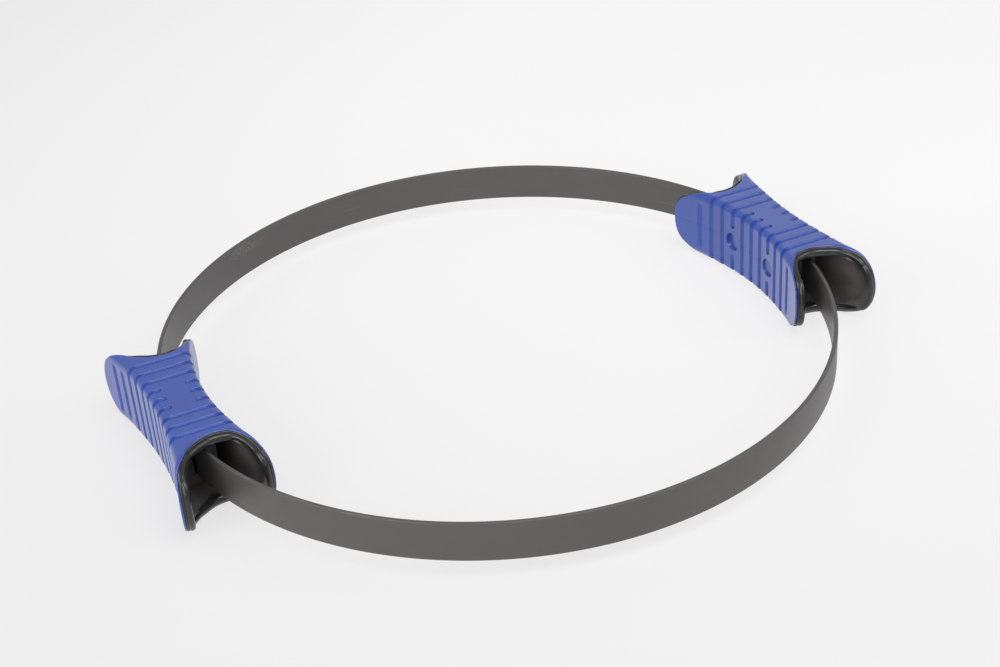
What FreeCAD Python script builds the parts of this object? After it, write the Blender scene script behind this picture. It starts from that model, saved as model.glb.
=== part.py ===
import FreeCAD, Part
import math
import os

# Pilates ring: a sprung strip bent into a circle between two hollow, ribbed squeeze handles.
# Millimetres. The origin is the ring's centre at half height, +Z is up and the handles lie on +X and -X.
# The right handle is modelled in place, and the left one is the same handle turned half round.
# Front is the -Y side and back the +Y side.

Vector = FreeCAD.Vector

# Band
band_radius = 180.0             # ring centre to the middle of the strip
strip_thickness = 1.1
strip_width = 20.4
strip_end_gap = 0.6             # between the strip's two ends, inside the right handle
sleeve_wall = 0.5
sleeve_clearance = 0.05         # between the strip and its sleeves
sleeve_end_gap = 1.5            # between a sleeve's end and the seat in the handle

# Handle form
handle_inset = 4.5              # handle's centre line inwards of the strip's middle
waist_half_width = 13.7
outer_waist_radius = 260.0      # curve of the outer wall along the handle
inner_waist_radius = 175.0      # curve of the inner wall along the handle
handle_half_height = 21.0
edge_radius = 3.5               # long edges of the handle
least_edge_radius = 0.6         # long edges of the inner layers are never sharper
mouth_reach = 41.4              # handle's middle to the foot of the notch in its top and bottom walls
notch_radius = 15.7
notch_shift = 1.3               # notch centre inwards of the handle's centre line
corner_reach = 53.5             # handle's middle to where a side tongue leaves the top and bottom
tongue_reach = 65.8             # handle's middle to the tip of a side tongue
notch_lip_reach = 2.4           # core's lip past the grip's edge in the notches
tongue_lip_reach = 0.6          # core's lip past the grip's edge on the side tongues

# Handle walls
grip_thickness = 2.2
bond_gap = 0.05                 # between the grip and the core
core_wall = 2.3

# Grooves round the grip
groove_pitch = 9.1
groove_width = 3.0
groove_depth = 1.0
top_groove_count = 9            # over the top and bottom walls
short_groove_count = 3          # of those, the middle ones that stop at the bare panel
inner_groove_count = 11         # down the inner wall
outer_groove_count = 13         # down the outer wall
panel_half_width = 6.5          # bare panel on the top and bottom walls
end_groove_half_height = 15.5   # grooves on the tongues only
screw_land_half_height = 9.0    # smooth land round a screw recess

# Clamp in each handle
clamp_clearance = 0.3           # each side of the strip
seat_half_length = 28.0
ledge_clearance = 0.3           # above and below the strip
plate_thickness = 1.0
plate_half_length = 25.0
block_half_length = 26.0
block_height_gap = 1.45         # between the block and the core's top and bottom walls
block_fit = 0.05                # between the block and the plate
block_wall_gap = 0.8            # between the block and the core's inner wall

# Fasteners
screw_pitches = 2               # groove pitches from the handle's middle to a screw
screw_diameter = 4.0
screw_hole_clearance = 0.3      # each side
thread_clearance = 0.05         # each side, between screw and nut
head_diameter = 8.0
head_height = 2.8
head_edge_radius = 0.8
socket_width = 2.5
socket_depth = 1.6
counterbore_depth = 4.5
counterbore_clearance = 0.2     # each side of the washer
washer_diameter = 9.0
washer_thickness = 0.8
nut_width = 7.0
nut_thickness = 3.2
nut_clearance = 0.1             # each side in its pocket
nut_recess = 0.2                # nut's outer face under the core's outer face
plug_diameter = 10.4
plug_stem_diameter = 8.4
plug_stem_length = 1.3
plug_clearance = 0.1            # each side of the plug
plug_recess = 1.5               # plug's face under the grip's skin

# Worked-out sizes
handle_radius = band_radius - handle_inset
strip_inside = band_radius - strip_thickness / 2
strip_outside = band_radius + strip_thickness / 2
wall_total = grip_thickness + bond_gap + core_wall
cavity_half_height = handle_half_height - wall_total
seat_radius = strip_outside + clamp_clearance
plate_outside = strip_inside - clamp_clearance
plate_inside = plate_outside - plate_thickness
block_radius = plate_inside - block_fit
block_half_height = cavity_half_height - block_height_gap
block_inside_x = handle_radius - waist_half_width + wall_total + block_wall_gap
screw_offset = screw_pitches * groove_pitch
screw_hole_diameter = screw_diameter + 2 * screw_hole_clearance
washer_seat_x = block_inside_x + counterbore_depth
head_seat_x = washer_seat_x - washer_thickness
handle_end = tongue_reach + tongue_lip_reach
beyond = 10.0                   # how far cutting tools run past what they cut
skin_margin = 2.0               # how far tools that cut along the skin stand out from it
handle_span = handle_end + beyond
tool_reach = handle_span + waist_half_width


def box(x_range, y_range, z_range):
    """A block between two values on each axis."""
    corner = Vector(x_range[0], y_range[0], z_range[0])
    return Part.makeBox(
        x_range[1] - x_range[0], y_range[1] - y_range[0], z_range[1] - z_range[0], corner
    )


def rod(diameter, x_start, x_end, y):
    """A cylinder along X at half height."""
    return Part.makeCylinder(diameter / 2, x_end - x_start, Vector(x_start, y, 0), Vector(1, 0, 0))


def disc(radius, half_height):
    """A cylinder on the ring's axis."""
    return Part.makeCylinder(radius, 2 * half_height, Vector(0, 0, -half_height))


def prism(points, direction):
    """A closed outline carried along a direction. A point given as a pair is an arc's middle and end."""
    edges = []
    start = points[0]
    for point in points[1:] + [points[0]]:
        if isinstance(point, tuple):
            edges.append(Part.Arc(start, point[0], point[1]).toShape())
            start = point[1]
        else:
            edges.append(Part.LineSegment(start, point).toShape())
            start = point
    return Part.Face(Part.Wire(edges)).extrude(direction)


def hexagon(width, x_start, x_end, y):
    """A hexagonal prism along X with its flats on top and bottom."""
    corner_radius = width / math.sqrt(3)
    corners = []
    for step in range(6):
        angle = math.radians(60 * step)
        corners.append(Vector(x_start, y + corner_radius * math.cos(angle), corner_radius * math.sin(angle)))
    return prism(corners, Vector(x_end - x_start, 0, 0))


def cleaned(shape):
    """The shape with faces on one surface joined, as a plain solid where it is only one."""
    joined = shape.removeSplitter()
    return joined.Solids[0] if len(joined.Solids) == 1 else joined


def outer_half_width(along):
    """Handle's centre line to the outer skin, at a distance along the handle."""
    return waist_half_width + outer_waist_radius - math.sqrt(outer_waist_radius**2 - along**2)


def inner_half_width(along):
    """Handle's centre line to the inner skin, at a distance along the handle."""
    return waist_half_width + inner_waist_radius - math.sqrt(inner_waist_radius**2 - along**2)


def waisted_prism(inset, half_height):
    """The handle's waisted plan, drawn in by inset on both sides, as a square-edged block."""
    outer_radius = outer_waist_radius + inset
    inner_radius = inner_waist_radius + inset
    outer_centre = handle_radius + waist_half_width + outer_waist_radius
    inner_centre = handle_radius - waist_half_width - inner_waist_radius
    outer_end = outer_centre - math.sqrt(outer_radius**2 - handle_span**2)
    inner_end = inner_centre + math.sqrt(inner_radius**2 - handle_span**2)
    outer_waist = Vector(outer_centre - outer_radius, 0, -half_height)
    inner_waist = Vector(inner_centre + inner_radius, 0, -half_height)
    outline = [
        Vector(outer_end, -handle_span, -half_height),
        (outer_waist, Vector(outer_end, handle_span, -half_height)),
        Vector(inner_end, handle_span, -half_height),
        (inner_waist, Vector(inner_end, -handle_span, -half_height)),
    ]
    return prism(outline, Vector(0, 0, 2 * half_height))


def waisted_block(inset):
    """The handle's form drawn in by inset on all sides, with its four long edges rounded."""
    block = waisted_prism(inset, handle_half_height - inset)
    long_edges = [edge for edge in block.Edges if isinstance(edge.Curve, Part.Circle)]
    return block.makeFillet(max(edge_radius - inset, least_edge_radius), long_edges)


def tongue_tool(lip):
    """What lies past the round end of the side tongues, at the back end and seen from the side."""
    rise = tongue_reach - corner_reach
    round_radius = (handle_half_height**2 + rise**2) / (2 * rise)
    centre = tongue_reach - round_radius
    radius = round_radius + lip
    top = handle_half_height
    start = centre + math.copysign(math.sqrt(radius**2 - top**2), corner_reach - centre + lip)
    x = handle_radius - tool_reach
    outline = [
        Vector(x, start, top),
        (Vector(x, centre + radius, 0), Vector(x, start, -top)),
        Vector(x, start, -top - beyond),
        Vector(x, handle_span + beyond, -top - beyond),
        Vector(x, handle_span + beyond, top + beyond),
        Vector(x, start, top + beyond),
    ]
    return prism(outline, Vector(2 * tool_reach, 0, 0))


def notch_tool(lip):
    """The notch in the top and bottom walls at the back end, kept between the two side walls."""
    centre_x = handle_radius - notch_shift
    centre_y = mouth_reach + notch_radius
    radius = notch_radius - lip
    height = handle_half_height + beyond
    outline = [
        Vector(centre_x - radius, centre_y, -height),
        (Vector(centre_x, centre_y - radius, -height), Vector(centre_x + radius, centre_y, -height)),
        Vector(centre_x + radius, handle_span + beyond, -height),
        Vector(centre_x - radius, handle_span + beyond, -height),
    ]
    notch = prism(outline, Vector(0, 0, 2 * height))
    return notch.common(waisted_prism(wall_total, height))


def trimmed(shape, notch_lip, tongue_lip):
    """The shape with both its ends cut to the mouth's form, by two lips further out than the grip's edge."""
    tools = []
    for tool in (tongue_tool(tongue_lip), notch_tool(notch_lip)):
        tools.append(tool)
        tools.append(tool.mirror(Vector(0, 0, 0), Vector(0, 1, 0)))
    return shape.cut(tools)


def groove_slab(index, x_range, half_height):
    """The stretch of the handle that one groove takes up."""
    middle = index * groove_pitch
    y_range = (middle - groove_width / 2, middle + groove_width / 2)
    return box(x_range, y_range, (-half_height, half_height))


def grip_grooves():
    """All the grooves of one grip, as what they take away from its skin."""
    inner_side = (handle_radius - tool_reach, handle_radius)
    outer_side = (handle_radius, handle_radius + tool_reach)
    both_sides = (inner_side[0], outer_side[1])
    panel = (handle_radius - panel_half_width, handle_radius + panel_half_width)
    full_height = handle_half_height + beyond
    slabs = []
    for index in range(-(top_groove_count // 2), top_groove_count // 2 + 1):
        slab = groove_slab(index, both_sides, full_height)
        if abs(index) <= short_groove_count // 2:
            slab = slab.cut(groove_slab(index, panel, full_height))
        if abs(index) == screw_pitches:
            slab = slab.cut(groove_slab(index, inner_side, screw_land_half_height))
        slabs.append(slab)
    for count, side in ((inner_groove_count, inner_side), (outer_groove_count, outer_side)):
        for index in range(top_groove_count // 2 + 1, count // 2 + 1):
            slabs.append(groove_slab(index, side, end_groove_half_height))
            slabs.append(groove_slab(-index, side, end_groove_half_height))
    skin = waisted_block(-skin_margin).cut(waisted_block(groove_depth))
    return skin.common(Part.makeCompound(slabs))


def plug_seat_x(y):
    """The flat in the core's inner wall that a plug's flange lies on."""
    nearest = abs(y) - plug_diameter / 2 - plug_clearance
    return handle_radius - inner_half_width(nearest) + grip_thickness + bond_gap


def make_grip():
    """Soft sleeve over the four walls, with its grooves and the two plug holes."""
    skin = waisted_block(0).cut(waisted_block(grip_thickness))
    grip = trimmed(skin, 0, 0).cut(grip_grooves())
    for y in (-screw_offset, screw_offset):
        grip = grip.cut(rod(plug_diameter + 2 * plug_clearance, handle_radius - tool_reach, handle_radius, y))
    return cleaned(grip)


def nut_outside_x():
    """The outer face of the nuts, just under the core's outer wall."""
    return handle_radius + outer_half_width(screw_offset) - grip_thickness - bond_gap - nut_recess


def make_core():
    """Hard shell inside the grip, with a lip at each mouth and the strip's seat on its outer wall."""
    shell = trimmed(waisted_block(0).cut(waisted_block(wall_total)), notch_lip_reach, tongue_lip_reach)
    grip_room = waisted_block(-skin_margin).cut(waisted_block(grip_thickness + bond_gap))
    shell = shell.cut(trimmed(grip_room, bond_gap, bond_gap))
    seat_box = box(
        (handle_radius - waist_half_width, handle_radius + tool_reach),
        (-seat_half_length, seat_half_length),
        (-handle_half_height, handle_half_height),
    )
    seat = seat_box.common(waisted_block(wall_total - core_wall / 2))
    seat = seat.cut(disc(plate_inside, handle_half_height))
    seat = seat.cut(disc(seat_radius, strip_width / 2 + ledge_clearance))
    core = shell.fuse(seat)
    for y in (-screw_offset, screw_offset):
        nut_floor = nut_outside_x() - nut_thickness
        pocket = hexagon(nut_width + 2 * nut_clearance, nut_floor, handle_radius + tool_reach, y)
        flat = plug_seat_x(y)
        core = core.cut(pocket.common(waisted_block(grip_thickness)))
        core = core.cut(rod(screw_hole_diameter, handle_radius, nut_floor, y))
        core = core.cut(rod(plug_stem_diameter + 2 * plug_clearance, flat, handle_radius, y))
        core = core.cut(rod(plug_diameter + 2 * plug_clearance, handle_radius - tool_reach, flat, y))
    return cleaned(core)


def make_clamp_plate():
    """Curved steel plate between the strip and the clamp block."""
    plate = disc(plate_outside, strip_width / 2).cut(disc(plate_inside, strip_width / 2))
    plate = plate.common(
        box((0, 2 * band_radius), (-plate_half_length, plate_half_length), (-strip_width, strip_width))
    )
    for y in (-screw_offset, screw_offset):
        plate = plate.cut(rod(screw_hole_diameter, handle_radius - tool_reach, handle_radius + tool_reach, y))
    return cleaned(plate)


def make_clamp_block():
    """Block that presses the plate and the strip into the core's seat, bored for the two screws."""
    block = box(
        (block_inside_x, band_radius),
        (-block_half_length, block_half_length),
        (-block_half_height, block_half_height),
    )
    block = block.common(disc(block_radius, block_half_height + beyond))
    for y in (-screw_offset, screw_offset):
        bore = washer_diameter + 2 * counterbore_clearance
        block = block.cut(rod(bore, block_inside_x - beyond, washer_seat_x, y))
        block = block.cut(rod(screw_hole_diameter, block_inside_x, handle_radius + tool_reach, y))
    return cleaned(block)


def make_screw(y):
    """Round-headed socket screw, with its head towards the ring's centre."""
    head = rod(head_diameter, head_seat_x - head_height, head_seat_x, y)
    rim = [edge for edge in head.Edges if edge.BoundBox.XMax < head_seat_x - head_height / 2]
    head = head.makeFillet(head_edge_radius, rim)
    shank = rod(screw_diameter, head_seat_x, nut_outside_x(), y)
    face = head_seat_x - head_height
    socket = hexagon(socket_width, face - beyond, face + socket_depth, y)
    return cleaned(head.fuse(shank).cut(socket))


def make_washer(y):
    """Plain washer under a screw's head."""
    ring = rod(washer_diameter, head_seat_x, washer_seat_x, y)
    return cleaned(ring.cut(rod(screw_hole_diameter, head_seat_x, washer_seat_x, y)))


def make_nut(y):
    """Hexagon nut held in the core's outer wall."""
    outside = nut_outside_x()
    nut = hexagon(nut_width, outside - nut_thickness, outside, y)
    return cleaned(nut.cut(rod(screw_diameter + 2 * thread_clearance, outside - nut_thickness, outside, y)))


def make_plug(y):
    """Soft plug over a screw's head, with a stem in the core's wall."""
    face = handle_radius - inner_half_width(y) + plug_recess
    flat = plug_seat_x(y)
    return cleaned(rod(plug_diameter, face, flat, y).fuse(rod(plug_stem_diameter, flat, flat + plug_stem_length, y)))


def make_strip():
    """Spring strip round the whole ring, with its two ends and all four screw holes inside the handles."""
    half_width = strip_width / 2
    strip = disc(strip_outside, half_width).cut(disc(strip_inside, half_width))
    strip = strip.cut(
        box((0, 2 * band_radius), (-strip_end_gap / 2, strip_end_gap / 2), (-strip_width, strip_width))
    )
    for y in (-screw_offset, screw_offset):
        strip = strip.cut(rod(screw_hole_diameter, -2 * band_radius, 2 * band_radius, y))
    return cleaned(strip)


def make_sleeve(side):
    """Thin sleeve over the strip's free span on the front (-1) or the back (1)."""
    inner_room = strip_thickness / 2 + sleeve_clearance
    inner_half_height = strip_width / 2 + sleeve_clearance
    outer_room = inner_room + sleeve_wall
    outer_half_height = inner_half_height + sleeve_wall
    tube = disc(band_radius + outer_room, outer_half_height).cut(disc(band_radius - outer_room, outer_half_height))
    bore = disc(band_radius + inner_room, inner_half_height).cut(disc(band_radius - inner_room, inner_half_height))
    near = side * (seat_half_length + sleeve_end_gap)
    far = side * 2 * band_radius
    span = box((-2 * band_radius, 2 * band_radius), (min(near, far), max(near, far)), (-strip_width, strip_width))
    return cleaned(tube.cut(bore).common(span))


def turned(shape):
    """The same piece on the left handle."""
    return shape.copy().rotated(Vector(0, 0, 0), Vector(0, 0, 1), 180)


pieces = {
    "spring_band": make_strip(),
    "front_sleeve": make_sleeve(-1),
    "back_sleeve": make_sleeve(1),
}
makers = {
    "core": make_core,
    "grip": make_grip,
    "clamp_block": make_clamp_block,
    "clamp_plate": make_clamp_plate,
}
for name, maker in makers.items():
    pieces["right_" + name] = maker()
    pieces["left_" + name] = turned(pieces["right_" + name])
fastener_makers = {
    "screw": make_screw,
    "washer": make_washer,
    "nut": make_nut,
    "plug": make_plug,
}
for name, maker in fastener_makers.items():
    pieces["right_front_" + name] = maker(-screw_offset)
    pieces["right_back_" + name] = maker(screw_offset)
    pieces["left_back_" + name] = turned(pieces["right_front_" + name])
    pieces["left_front_" + name] = turned(pieces["right_back_" + name])

os.makedirs("parts", exist_ok=True)
for name, shape in pieces.items():
    shape.exportStep("parts/" + name + ".step")
    print(name, len(shape.Solids), "solid", shape.isValid(), round(shape.Volume), "mm3")
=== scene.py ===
"""Looks of a pilates ring: a sprung band in satin sleeves between two ribbed handles. Metres, +Z up."""
import logging
import math
from dataclasses import astuple, dataclass, field
from enum import Enum

import bpy
import numpy as np
from mathutils import Matrix, Vector


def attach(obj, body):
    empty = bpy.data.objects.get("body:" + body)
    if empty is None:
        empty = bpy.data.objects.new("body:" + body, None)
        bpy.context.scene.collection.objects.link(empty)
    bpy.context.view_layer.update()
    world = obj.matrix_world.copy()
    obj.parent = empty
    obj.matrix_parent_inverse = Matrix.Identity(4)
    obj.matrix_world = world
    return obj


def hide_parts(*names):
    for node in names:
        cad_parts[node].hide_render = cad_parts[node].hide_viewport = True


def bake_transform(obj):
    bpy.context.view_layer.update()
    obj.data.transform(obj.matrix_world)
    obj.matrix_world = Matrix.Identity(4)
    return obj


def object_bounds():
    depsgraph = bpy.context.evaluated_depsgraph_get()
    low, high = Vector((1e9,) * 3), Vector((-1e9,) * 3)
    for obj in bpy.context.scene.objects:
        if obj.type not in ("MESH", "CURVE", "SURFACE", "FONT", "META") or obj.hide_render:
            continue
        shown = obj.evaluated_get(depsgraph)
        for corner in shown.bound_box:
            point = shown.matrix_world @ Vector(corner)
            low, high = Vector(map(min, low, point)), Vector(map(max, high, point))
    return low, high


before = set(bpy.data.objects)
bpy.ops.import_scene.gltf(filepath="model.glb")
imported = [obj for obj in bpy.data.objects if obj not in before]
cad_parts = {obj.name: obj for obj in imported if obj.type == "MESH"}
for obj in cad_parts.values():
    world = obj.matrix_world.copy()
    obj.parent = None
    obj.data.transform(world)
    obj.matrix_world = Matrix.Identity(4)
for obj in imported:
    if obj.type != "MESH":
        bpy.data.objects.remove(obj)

CAD_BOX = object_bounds()
MM = 0.001
TINY = 1e-9
LOG = logging.getLogger("pilates_ring")
RGB = tuple[float, float, float]
Point = tuple[float, float, float]
Pair = tuple[float, float]
Socket = bpy.types.NodeSocket
Sockets = bpy.types.bpy_prop_collection
Feed = Socket | float | tuple[float, ...]
Inputs = dict[str | int, Feed]


class Side(Enum):
    """A handle by the way it lies along X. The left one is the right one turned half round Z."""

    LEFT = -1
    RIGHT = 1

    @property
    def word(self) -> str:
        """The side's name as nodes and bodies spell it."""
        return self.name.lower()

    @property
    def body(self) -> str:
        """The CAD body of this side's handle."""
        return f"{self.word}_handle"

    def turned(self, points: np.ndarray) -> np.ndarray:
        """Points of the right handle, turned half round Z for the left one."""
        return points * np.array([self.value, self.value, 1.0])


class Span(Enum):
    """One of the band's two free spans, by the way it lies along Y."""

    FRONT = -1
    BACK = 1

    @property
    def word(self) -> str:
        """The span's name as nodes spell it."""
        return self.name.lower()


def smoothstep(low: float, high: float, values: np.ndarray) -> np.ndarray:
    """Rises from 0 at low to 1 at high with level ends: t squared times (3 - 2t)."""
    share = np.clip((values - low) / (high - low), 0.0, 1.0)
    return share * share * (3.0 - 2.0 * share)


def unit(vectors: np.ndarray) -> np.ndarray:
    """Vectors of the same directions and of length one."""
    return vectors / np.linalg.norm(vectors, axis=-1, keepdims=True)


def evened(vectors: np.ndarray, spread: float) -> np.ndarray:
    """Vectors round a closed loop, averaged with their neighbours under a bell curve.

    The average is taken on the loop's waves: each is scaled by e to the minus 2 (pi spread frequency)
    squared.

    Args:
        vectors: One vector for each place on the loop.
        spread: The bell curve's standard deviation, in places.

    Returns:
        The averaged vectors.
    """
    waves = np.fft.rfft(vectors, axis=0)
    bell = np.exp(-2.0 * (math.pi * spread * np.fft.rfftfreq(len(vectors))) ** 2)
    return np.fft.irfft(waves * bell[:, None], len(vectors), axis=0)


def thinned(places: np.ndarray, least: float, limit: float) -> np.ndarray:
    """Sorted places within a limit, without those closer than a least step to the one before.

    Args:
        places: Places in any order.
        least: The least step.
        limit: The furthest place each way, at which others are held.

    Returns:
        The places that are kept.
    """
    ordered = np.unique(np.clip(np.round(places, 6), -limit, limit))
    steps = np.diff(ordered, prepend=ordered[0] - 1.0)
    return ordered[steps >= least]


def eased(
    start: np.ndarray,
    leave: np.ndarray,
    end: np.ndarray,
    arrive: np.ndarray,
    rows: int,
) -> np.ndarray:
    """Rows of points on cubic curves that leave one row and arrive at another in given directions.

    With t the share of the way and s = 1 - t, a point is s squared (1 + 2t) start + t s squared leave
    + t squared (1 + 2s) end - t squared s arrive.

    Args:
        start: First points, which are left out.
        leave: Their direction and speed.
        end: Last points, which are kept.
        arrive: Their direction and speed.
        rows: Rows to make.

    Returns:
        The rows in turn.
    """
    t = np.linspace(0.0, 1.0, rows + 1)[1:, None, None]
    s = 1.0 - t
    first = s * s * (1.0 + 2.0 * t) * start + t * s * s * leave
    return first + t * t * (1.0 + 2.0 * s) * end - t * t * s * arrive


def ring_quads(rows: int, columns: int) -> np.ndarray:
    """Quads of a grid whose last row meets its first and whose last column meets its first.

    Args:
        rows: Rows of points.
        columns: Points in a row.

    Returns:
        Four point numbers for each quad.
    """
    index = np.arange(rows * columns).reshape(rows, columns)
    beside = np.roll(index, -1, axis=1)
    ahead = np.roll(index, -1, axis=0)
    across = np.roll(ahead, -1, axis=1)
    return np.stack([index, beside, across, ahead], axis=-1).reshape(-1, 4)


def enclosed_volume(points: np.ndarray, quads: np.ndarray) -> float:
    """Volume inside closed quads, as a sum of signed tetrahedra on the origin.

    Args:
        points: The corners, one row each.
        quads: Four point numbers for each quad.

    Returns:
        The volume, negative if the quads face inwards.
    """
    corner = [points[quads[:, i]] for i in range(4)]
    first = np.einsum("ij,ij->i", corner[0], np.cross(corner[1], corner[2]))
    second = np.einsum("ij,ij->i", corner[0], np.cross(corner[2], corner[3]))
    return float((first + second).sum() / 6.0)


def mesh_piece(
    name: str,
    points: np.ndarray,
    quads: np.ndarray,
    caps: list[list[int]] | None = None,
    sharp_degrees: float = 40.0,
) -> bpy.types.Object:
    """A smooth shaded object of quads, turned to face outwards, with end caps where given.

    Args:
        name: Name of the piece.
        points: Its points, one row each.
        quads: Four point numbers for each quad.
        caps: Rings of point numbers that close the ends, in the quads' own turn.
        sharp_degrees: Edges that fold by more than this stay sharp.

    Returns:
        The linked object, at the origin.
    """
    rings = caps or []
    if enclosed_volume(points, quads) < 0.0:
        quads = quads[:, ::-1]
        rings = [ring[::-1] for ring in rings]
    mesh = bpy.data.meshes.new(name)
    mesh.from_pydata(points.tolist(), [], quads.tolist() + rings)
    mesh.polygons.foreach_set("use_smooth", np.ones(len(mesh.polygons), bool))
    mesh.set_sharp_from_angle(angle=math.radians(sharp_degrees))
    piece = bpy.data.objects.new(name, mesh)
    bpy.context.scene.collection.objects.link(piece)
    return piece


def grid_piece(name: str, grid: np.ndarray) -> bpy.types.Object:
    """A closed ring of rings from a grid of points, rows by columns by three."""
    rows, columns = grid.shape[:2]
    return mesh_piece(name, grid.reshape(-1, 3), ring_quads(rows, columns))


def tube_piece(name: str, grid: np.ndarray, sharp_degrees: float) -> bpy.types.Object:
    """A tube of rings from a grid of points, with a cap at each end.

    Args:
        name: Name of the piece.
        grid: Points, rows by columns by three.
        sharp_degrees: Edges that fold by more than this stay sharp.

    Returns:
        The linked object.
    """
    rows, columns = grid.shape[:2]
    last = (rows - 1) * columns
    ends = [list(range(columns))[::-1], list(range(last, last + columns))]
    return mesh_piece(name, grid.reshape(-1, 3), ring_quads(rows, columns)[:last], ends, sharp_degrees)


def set_attribute(piece: bpy.types.Object, name: str, values: np.ndarray) -> None:
    """Writes one number to each point of a piece, under a name that a material reads."""
    attribute = piece.data.attributes.new(name, "FLOAT", "POINT")
    attribute.data.foreach_set("value", np.ascontiguousarray(values, np.float32).ravel())


def set_uv(piece: bpy.types.Object, name: str, pairs: np.ndarray) -> None:
    """Gives a piece a UV map from one pair for each point.

    Args:
        piece: The piece.
        name: Name of the map.
        pairs: One row for each point.
    """
    mesh = piece.data
    corners = np.empty(len(mesh.loops), np.int32)
    mesh.loops.foreach_get("vertex_index", corners)
    layer = mesh.uv_layers.new(name=name)
    layer.uv.foreach_set("vector", np.ascontiguousarray(pairs[corners], np.float32).ravel())


def dress(piece: bpy.types.Object, material: bpy.types.Material) -> None:
    """Gives a piece one material over all its faces."""
    piece.data.materials.clear()
    piece.data.materials.append(material)


class NodeSheet:
    """A node tree with short ways to add, set and link its nodes."""

    def __init__(self, tree: bpy.types.NodeTree) -> None:
        """Keeps the tree that nodes are added to."""
        self.tree = tree

    def feed(self, socket: Socket, value: Feed) -> None:
        """Links an input to another node's output, or sets its value.

        Args:
            socket: The input.
            value: An output, a number or a colour.
        """
        if isinstance(value, Socket):
            self.tree.links.new(value, socket)
        else:
            socket.default_value = value

    def add(self, kind: str, inputs: Inputs | None = None, **settings: object) -> bpy.types.Node:
        """Adds a node.

        Args:
            kind: Blender's name of the node's type.
            inputs: Values or outputs for its inputs, by name or number.
            settings: The node's own options.

        Returns:
            The new node.
        """
        node = self.tree.nodes.new(kind)
        for option, value in settings.items():
            setattr(node, option, value)
        for socket, value in (inputs or {}).items():
            self.feed(node.inputs[socket], value)
        return node

    def math(self, operation: str, *values: Feed) -> Socket:
        """One operation on numbers."""
        return self.add("ShaderNodeMath", dict(enumerate(values)), operation=operation).outputs[0]

    def vectors(self, operation: str, *values: Feed) -> Sockets:
        """One operation on vectors, which puts out a vector and a number."""
        return self.add("ShaderNodeVectorMath", dict(enumerate(values)), operation=operation).outputs

    def attribute(self, name: str) -> Socket:
        """A number that the mesh holds at each point."""
        return self.add("ShaderNodeAttribute", attribute_name=name).outputs["Fac"]

    def noise(self, vector: Socket, scale: Feed, detail: float, roughness: float = 0.5) -> Socket:
        """Noise over a vector, from 0 to 1."""
        inputs = {"Vector": vector, "Scale": scale, "Detail": detail, "Roughness": roughness}
        return self.add("ShaderNodeTexNoise", inputs).outputs["Fac"]

    def remap(self, value: Feed, low: float, high: float, start: float = 0.0, end: float = 1.0) -> Socket:
        """Carries the range from low to high to the one from start to end, held at its ends."""
        inputs = {"Value": value, "From Min": low, "From Max": high, "To Min": start, "To Max": end}
        return self.add("ShaderNodeMapRange", inputs, clamp=True).outputs["Result"]

    def mix(self, share: Feed, first: Feed, second: Feed) -> Socket:
        """A colour between two colours.

        Args:
            share: 0 for the first, 1 for the second.
            first: One colour.
            second: The other.

        Returns:
            The mixed colour.
        """
        node = self.add("ShaderNodeMix", data_type="RGBA")
        inputs = {socket.identifier: socket for socket in node.inputs}
        for name, value in {"Factor_Float": share, "A_Color": first, "B_Color": second}.items():
            self.feed(inputs[name], value)
        return next(socket for socket in node.outputs if socket.identifier == "Result_Color")


class EffectGroup:
    """A shader node group that several finishes share."""

    name = ""
    numbers: dict[str, float] = {}
    results: tuple[str, ...] = ()

    def tree(self) -> bpy.types.NodeTree:
        """The group's node tree, made at its first use.

        Returns:
            The tree.
        """
        tree = bpy.data.node_groups.get(self.name)
        if tree is None:
            tree = bpy.data.node_groups.new(self.name, "ShaderNodeTree")
            tree.interface.new_socket("Vector", in_out="INPUT", socket_type="NodeSocketVector")
            for word, value in self.numbers.items():
                socket = tree.interface.new_socket(word, in_out="INPUT", socket_type="NodeSocketFloat")
                socket.default_value = value
            for word in self.results:
                tree.interface.new_socket(word, in_out="OUTPUT", socket_type="NodeSocketFloat")
            sheet = NodeSheet(tree)
            self.draw(sheet, sheet.add("NodeGroupInput").outputs, sheet.add("NodeGroupOutput").inputs)
        return tree

    def draw(self, sheet: NodeSheet, given: Sockets, wanted: Sockets) -> None:
        """Adds the group's own nodes.

        Args:
            sheet: The group's nodes.
            given: The group's inputs.
            wanted: The group's outputs.
        """
        raise NotImplementedError

    def place(self, sheet: NodeSheet, vector: Socket, *values: float) -> Sockets:
        """Puts the group into a material.

        Args:
            sheet: The material's nodes.
            vector: Where the pattern is read.
            values: Values for the group's numbers, in their order.

        Returns:
            The group node's outputs, by name.
        """
        inputs = {"Vector": vector, **dict(zip(self.numbers, values))}
        return sheet.add("ShaderNodeGroup", inputs, node_tree=self.tree()).outputs


class MouldGrain(EffectGroup):
    """Fine spark-etched grain of a mould, and a slow mottle over the skin."""

    name = "mould_grain"
    numbers = {"Grain Scale": 2600.0, "Mottle Scale": 55.0}
    results = ("Grain", "Mottle")
    grain_detail = 4.0
    mottle_detail = 5.0
    mottle_roughness = 0.62
    mottle_edges = (0.3, 0.7)

    def draw(self, sheet: NodeSheet, given: Sockets, wanted: Sockets) -> None:
        """Grain is fine noise, and mottle is coarse noise broken by a finer one.

        Args:
            sheet: The group's nodes.
            given: The group's inputs.
            wanted: The group's outputs.
        """
        where = given["Vector"]
        coarse = sheet.noise(where, given["Mottle Scale"], self.mottle_detail, self.mottle_roughness)
        sheet.feed(wanted["Grain"], sheet.noise(where, given["Grain Scale"], self.grain_detail))
        sheet.feed(wanted["Mottle"], sheet.remap(coarse, *self.mottle_edges))


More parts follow.
